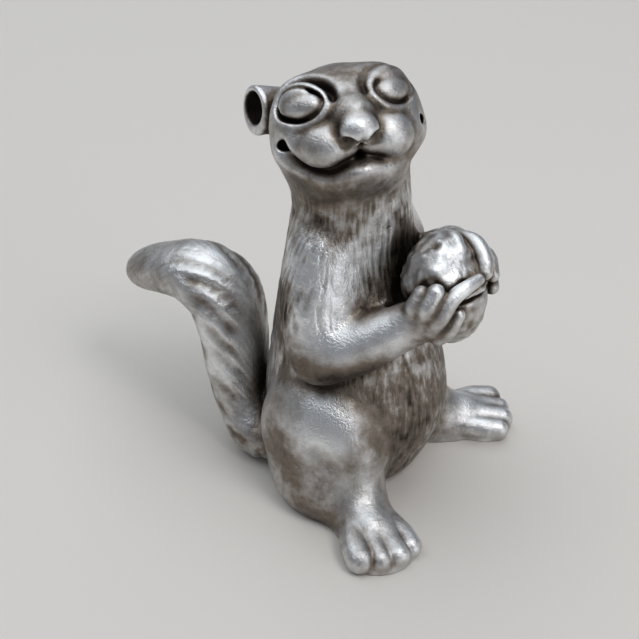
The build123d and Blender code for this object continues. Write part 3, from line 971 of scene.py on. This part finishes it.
def sculptCasting(name, cell):
    def finished(some):
        return castingField(name, some, True)

    low, high = castingBox(name)
    low, high = low - sculpt["margin"], high + sculpt["margin"]
    points, faces = netMesh(lambda some: castingField(name, some).max(1), low, high, cell)
    points, faces = largestPart(points, faces)
    whole, edge = inChunks(finished, points).T
    onSkin = whole > edge - cell
    rounds, reach = sculpt["settleRounds"], sculpt["settleReach"] * cell
    points[onSkin] = settle(points[onSkin], lambda some: finished(some)[:, 0], rounds, reach)
    points[:, 2] = np.maximum(points[:, 2], 0)
    return points, faces


def neighbourMean(values, faces):
    total, hits = np.zeros_like(values), np.zeros(len(values))
    for k in range(4):
        a, b = faces[:, k], faces[:, (k + 1) % 4]
        for one, two in ((a, b), (b, a)):
            hits += np.bincount(one, minlength=len(values))
            for column in range(values.shape[1]):
                total[:, column] += np.bincount(one, values[two, column], len(values))
    return total / hits[:, None]


def smoothed(values, faces, rounds):
    for _ in range(rounds):
        values = neighbourMean(values, faces)
    return values


def standsOut(points, faces, normal, cell):
    # rounding of the surface, fine and broad, positive where it stands out
    bend = ((points - neighbourMean(points, faces)) * normal).sum(1) / cell**2
    sharpest = patina["sharpestBend"]
    bend = np.clip(bend, -sharpest, sharpest)[:, None]
    fine = smoothed(bend, faces, patina["fineRounds"])
    broad = smoothed(fine, faces, patina["broadRounds"])
    return fine[:, 0], broad[:, 0]


def closedIn(points, normal):
    # how deep in a recess each place lies, 0 in the open
    def look(both):
        here, out = both[:, :3], both[:, 3:]
        free = [skin(here + h * out) / h for h in patina["feelers"]]
        return np.mean([1 - np.clip(share, 0, 1) for share in free], axis=0)

    return inChunks(look, np.hstack([points, normal]))


# Antique metal: dark in the recesses, brown on the flats, rubbed silvery on what stands out, with
# painted highlights and painted shade laid over it.
patina = {
    "dark": (0.040, 0.032, 0.026, 1),
    "brown": (0.235, 0.198, 0.165, 1),
    "bright": (0.84, 0.85, 0.86, 1),
    "stops": (0.10, 0.40, 0.82),
    "roughness": ((0.1, 0.54), (0.8, 0.34)),  # level, then how rough it is there
    # wear and painted light: where it starts, and what broad and fine rounding and facing upwards add;
    # facing upwards is painted light, lighter on top
    "wear": (0.39, 0.3, 0.1, 0.1),
    "sharpestBend": 6.0,
    "fineRounds": 2,
    "broadRounds": 10,
    # recesses: distances felt outwards, gain, start, and what fine rounding takes off
    "feelers": (0.4, 0.9, 1.8),
    "recess": (1.3, 0.12, 0.14),
    "recessShade": 0.6,
    # painted light on the tail: its recesses are darkened less
    "tailRecessWithPaintedLight": 0.4,
    "grime": 1.5,  # how much darker a millimetre of chisel depth is
    # and its chisel marks are darkened less too
    "tailGrimeWithPaintedLight": 0.8,
    "speckle": {"Scale": 1400.0, "Detail": 6.0, "Roughness": 0.65},
    "speckleRange": (0.35, 1.1),  # taken off, then gain
    "speckleShare": 0.32,
    "blotch": {"Scale": 260.0, "Detail": 4.0, "Roughness": 0.6},
    "blotchRange": (0.4, 0.8),
    "hairs": {"Scale": 2600.0, "Detail": 3.0, "Roughness": 0.6},
    "hairStretch": (1, 1, 0.13),
    "hairRange": (0.3, 2.4),
    "streaks": 0.27,  # of the fine hairs between the chisel marks
    "grit": {"Scale": 5200.0, "Detail": 3.0, "Roughness": 0.6},
    "gritHeight": 0.45,
    "hairHeight": 0.25,
    "grain": {"Strength": 0.9, "Distance": 0.00016},
    # x, y, z, reach and amount: painted highlights where the amount is positive, painted shade where
    # it is negative
    "paintedLightAndShade": (
        (-7.6, -0.5, 24.2, 2.4, 0.38),  # upper arms
        (-8.9, -1.8, 20.3, 2.4, 0.46),
        (-8.2, 1.9, 20.6, 2.2, -0.28),
        (-8.3, -4.4, 18.9, 2.0, 0.46),  # forearms, painted shade below
        (-6.7, -8.0, 20.2, 2.3, 0.24),
        (-10.0, -0.8, 16.0, 2.0, -0.22),
        (-9.0, -4.0, 15.2, 1.9, -0.34),
        (-7.6, -6.6, 16.4, 1.7, -0.28),
        (-9.7, -3.6, 10.0, 2.6, 0.44),  # thighs, painted shade at the side
        (-9.3, -7.1, 3.9, 2.0, 0.20),
        (-10.8, 0.2, 5.5, 3.0, -0.17),
        (-11.3, -2.6, 1.8, 2.4, -0.14),
        (-11.0, -10.4, 2.4, 3.6, 0.06),  # feet
        (-8.0, -9.0, 2.2, 4.0, 0.04),
        (-1.0, -11.2, 25.6, 2.6, 0.30),  # acorn
        (-4.2, 12.3, 16.5, 4.0, 0.18),  # tail
        (-4.2, 9.0, 11.0, 4.0, 0.36),
        (-4.5, -7.0, 11.0, 5.0, -0.18),  # belly
        (-3.5, -8.0, 6.5, 4.0, -0.12),
        (-5.0, -0.5, 29.0, 3.2, -0.16),  # throat
        (-4.6, 5.2, 15.5, 4.5, -0.10),  # back
        (-5.8, -1.5, 32.0, 2.5, -0.10),  # jaw
        (-3.8, -3.9, 25.4, 2.6, 0.30),  # chest
        (-5.2, -3.4, 22.8, 1.8, 0.12),
        (-1.0, 0.5, 39.2, 4.0, -0.16),  # crown
    ),
}


def paintedLightAndShadeAt(points):
    # painted highlights and painted shade from the table, the same on both sides
    sided = np.column_stack([-np.abs(points[:, 0]), points[:, 1:]])
    total = np.zeros(len(points))
    for x, y, z, reach, amount in patina["paintedLightAndShade"]:
        away = np.linalg.norm(sided - (x, y, z), axis=1)
        total += amount * np.exp(-((away / reach) ** 2))
    return total


def newMaterial(name, inputs):
    material = bpy.data.materials.new(name)
    material.use_nodes = True
    shader = material.node_tree.nodes["Principled BSDF"]
    for key, value in inputs.items():
        shader.inputs[key].default_value = value
    return material, shader, material.node_tree.nodes, material.node_tree.links


def patinaMaterial():
    material, shader, nodes, links = newMaterial("antiqueMetal", {"Metallic": 1.0})

    def made(kind, **inputs):
        node = nodes.new(kind)
        for key, value in inputs.items():
            node.inputs[key].default_value = value
        return node

    def sums(operation, a, b):
        node = nodes.new("ShaderNodeMath")
        node.operation = operation
        node.use_clamp = True
        for socket, value in zip(node.inputs, (a, b)):
            if isinstance(value, (int, float)):
                socket.default_value = value
            else:
                links.new(value, socket)
        return node.outputs[0]

    def attribute(name):
        node = nodes.new("ShaderNodeAttribute")
        node.attribute_name = name
        return node.outputs["Fac"]

    def ramp(value, stops):
        node = nodes.new("ShaderNodeValToRGB")
        links.new(value, node.inputs[0])
        elements = node.color_ramp.elements
        while len(elements) < len(stops):
            elements.new(0.5)
        for element, (place, colour) in zip(elements, stops):
            element.position = place
            element.color = colour
        return node.outputs[0]

    def above(value, floor, gain):
        return sums("MULTIPLY", sums("SUBTRACT", value, floor), gain)

    coords = nodes.new("ShaderNodeTexCoord").outputs["Object"]
    combed = made("ShaderNodeMapping", Scale=patina["hairStretch"])
    links.new(coords, combed.inputs["Vector"])

    def mottle(name, place=coords):
        node = made("ShaderNodeTexNoise", **patina[name])
        links.new(place, node.inputs["Vector"])
        return node.outputs[0]

    spotted = above(mottle("speckle"), *patina["speckleRange"])
    hair = attribute("hair")
    streak = sums("MULTIPLY", hair, above(mottle("hairs", combed.outputs[0]), *patina["hairRange"]))
    # wear together with painted highlights and painted shade sets the level
    level = sums("ADD", attribute("wear"), above(mottle("blotch"), *patina["blotchRange"]))
    level = sums("ADD", level, sums("MULTIPLY", spotted, patina["speckleShare"]))
    level = sums("SUBTRACT", level, sums("MULTIPLY", attribute("recess"), patina["recessShade"]))
    level = sums("SUBTRACT", level, sums("MULTIPLY", hair, patina["streaks"] / 2))
    level = sums("ADD", level, sums("MULTIPLY", streak, patina["streaks"]))
    colours = zip(patina["stops"], (patina["dark"], patina["brown"], patina["bright"]))
    links.new(ramp(level, tuple(colours)), shader.inputs["Base Color"])
    greys = [(stop, (grey, grey, grey, 1)) for stop, grey in patina["roughness"]]
    links.new(ramp(level, greys), shader.inputs["Roughness"])
    grit = sums("MULTIPLY", mottle("grit"), patina["gritHeight"])
    height = sums("ADD", grit, sums("MULTIPLY", streak, patina["hairHeight"]))
    bump = made("ShaderNodeBump", **patina["grain"])
    links.new(height, bump.inputs["Height"])
    links.new(bump.outputs[0], shader.inputs["Normal"])
    return material


brass = {
    "dark": (0.38, 0.26, 0.10, 1),
    "pale": (0.56, 0.41, 0.18, 1),
    "metal": {"Metallic": 1.0, "Roughness": 0.35},
    "grain": 900.0,
}


def turnedMaterial():
    material, shader, nodes, links = newMaterial("turnedBrass", brass["metal"])
    coords = nodes.new("ShaderNodeTexCoord")
    grain = nodes.new("ShaderNodeTexNoise")
    grain.inputs["Scale"].default_value = brass["grain"]
    links.new(coords.outputs["Object"], grain.inputs["Vector"])
    colour = nodes.new("ShaderNodeValToRGB")
    colour.color_ramp.elements[0].color = brass["dark"]
    colour.color_ramp.elements[1].color = brass["pale"]
    links.new(grain.outputs[0], colour.inputs[0])
    links.new(colour.outputs[0], shader.inputs["Base Color"])
    return material


def placed(name, data):
    thing = bpy.data.objects.new(name, data)
    bpy.context.collection.objects.link(thing)
    return thing


def addMesh(name, points, faces, material):
    mesh = bpy.data.meshes.new(name)
    mesh.from_pydata((points * mm).tolist(), [], faces.tolist())
    mesh.polygons.foreach_set("use_smooth", [True] * len(mesh.polygons))
    mesh.set_sharp_from_angle(angle=math.radians(sculpt["sharpAngle"]))
    mesh.materials.append(material)
    return placed(name, mesh)


def agedCasting(name, points, faces, cell):
    # how deep in a recess, how worn with painted light and painted shade added, and how hairy each
    # point is
    normal = outwards(points, faces)
    fine, broad = standsOut(points, faces, normal, cell)
    gain, start, edge = patina["recess"]
    recess = np.clip(gain * closedIn(points, normal) - start - edge * fine, 0, 1)
    grime = patina["grime"]
    if name in ear:  # the insides of the cups are made fully dark
        outside = step(earHollow(points, name), 0, ear["cupEdge"])
        recess = np.maximum(recess, 1 - outside)
    if name == "tail":  # painted light: the tail's recesses and chisel marks are made lighter
        grime = patina["tailGrimeWithPaintedLight"]
        recess = recess * patina["tailRecessWithPaintedLight"]
    base, onBroad, onFine, paintedTopLight = patina["wear"]
    # wear on what stands out, plus painted light on upward faces and painted highlights and painted
    # shade from the table
    wear = base + onBroad * broad + onFine * fine + paintedTopLight * normal[:, 2] + paintedLightAndShadeAt(points)
    wear = wear - grime * inChunks(lambda some: texture(some, formsNear(some)), points)
    hair = inChunks(lambda some: hairy(some, formsNear(some)), points)
    return {"recess": recess, "wear": np.clip(wear, 0, 1), "hair": hair}


antiqueMetal = patinaMaterial()
for name in castings:
    cell = sculpt["fineCell"] if name in sculpt["fineCastings"] else sculpt["cell"]
    points, faces = sculptCasting(name, cell)
    piece = addMesh("cast_" + name, points, faces, antiqueMetal)
    aged = agedCasting(name, points, faces, cell)
    for label, values in aged.items():
        layer = piece.data.attributes.new(label, "FLOAT", "POINT")
        layer.data.foreach_set("value", np.asarray(values, np.float32))
    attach(piece, "root")
    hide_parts(name)
    low, middle, high = np.percentile(aged["wear"], (5, 50, 95)).round(2)
    print("cast", name, len(faces), "faces, wear", low, middle, high)

turnedBrass = turnedMaterial()
for name in ("neck_dowel", "tail_dowel", "shoulder_dowels", "hip_dowels"):
    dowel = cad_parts[name]
    dowel.data.materials.clear()
    dowel.data.materials.append(turnedBrass)
print("dowels finished")

# Studio: a pale table top, three soft lamps and a grey room.
studio = {
    "floorSize": 3.0,
    "floor": {"Base Color": (0.74, 0.71, 0.67, 1), "Roughness": 0.7},
    "room": (0.60, 0.63, 0.69, 1),
    "roomStrength": 0.3,
    # place, aim, size, power and colour
    "lamps": (
        ((0.05, 0.14, 0.43), (0.0, 0.0, 0.015), 0.75, 1.65, (0.93, 0.97, 1.0)),
        ((-0.03, -0.22, 0.36), (0.0, 0.0, 0.015), 0.16, 0.42, (1.0, 0.98, 0.96)),
        ((0.0, -0.48, 0.12), (0.0, 0.0, 0.02), 0.3, 0.4, (0.95, 0.97, 1.0)),
    ),
}
camera = {
    "aim": (4.0, 6.4, 10.0),
    "azimuth": -55.0,
    "elevation": 35.0,
    "distance": 135.0,
    "imageSize": 639,
    "focalPixels": 1390.5,
    "nearest": 0.005,
}


def lookAt(thing, place, aim):
    thing.location = Vector(place)
    thing.rotation_euler = (Vector(aim) - Vector(place)).to_track_quat("-Z", "Y").to_euler()


def addFloor():
    half = studio["floorSize"] / 2
    mesh = bpy.data.meshes.new("tableTop")
    corners = [(-half, -half, 0), (half, -half, 0), (half, half, 0), (-half, half, 0)]
    mesh.from_pydata(corners, [], [(0, 1, 2, 3)])
    mesh.materials.append(newMaterial("paleTable", studio["floor"])[0])
    floor = placed("tableTop", mesh)


def addLamps():
    for index, (place, aim, size, power, colour) in enumerate(studio["lamps"]):
        light = bpy.data.lights.new(f"softLamp{index}", "AREA")
        light.shape = "DISK"
        light.size = size
        light.energy = power
        light.color = colour
        lookAt(placed(light.name, light), place, aim)


def addRoom():
    world = bpy.data.worlds.new("greyRoom")
    world.use_nodes = True
    background = world.node_tree.nodes["Background"]
    background.inputs["Color"].default_value = studio["room"]
    background.inputs["Strength"].default_value = studio["roomStrength"]
    bpy.context.scene.world = world


def addCamera():
    lens = bpy.data.cameras.new("photoView")
    lens.angle = 2 * math.atan(camera["imageSize"] / 2 / camera["focalPixels"])
    lens.clip_start = camera["nearest"]
    view = placed("photoView", lens)
    turn, lift = math.radians(camera["azimuth"]), math.radians(camera["elevation"])
    level = math.cos(lift)
    away = np.array((math.sin(turn) * level, -math.cos(turn) * level, math.sin(lift)))
    aim = np.array(camera["aim"])
    lookAt(view, (aim + camera["distance"] * away) * mm, aim * mm)
    bpy.context.scene.camera = view


addFloor()
addLamps()
addRoom()
addCamera()
bpy.context.scene.view_settings.view_transform = "Standard"
print("studio set")
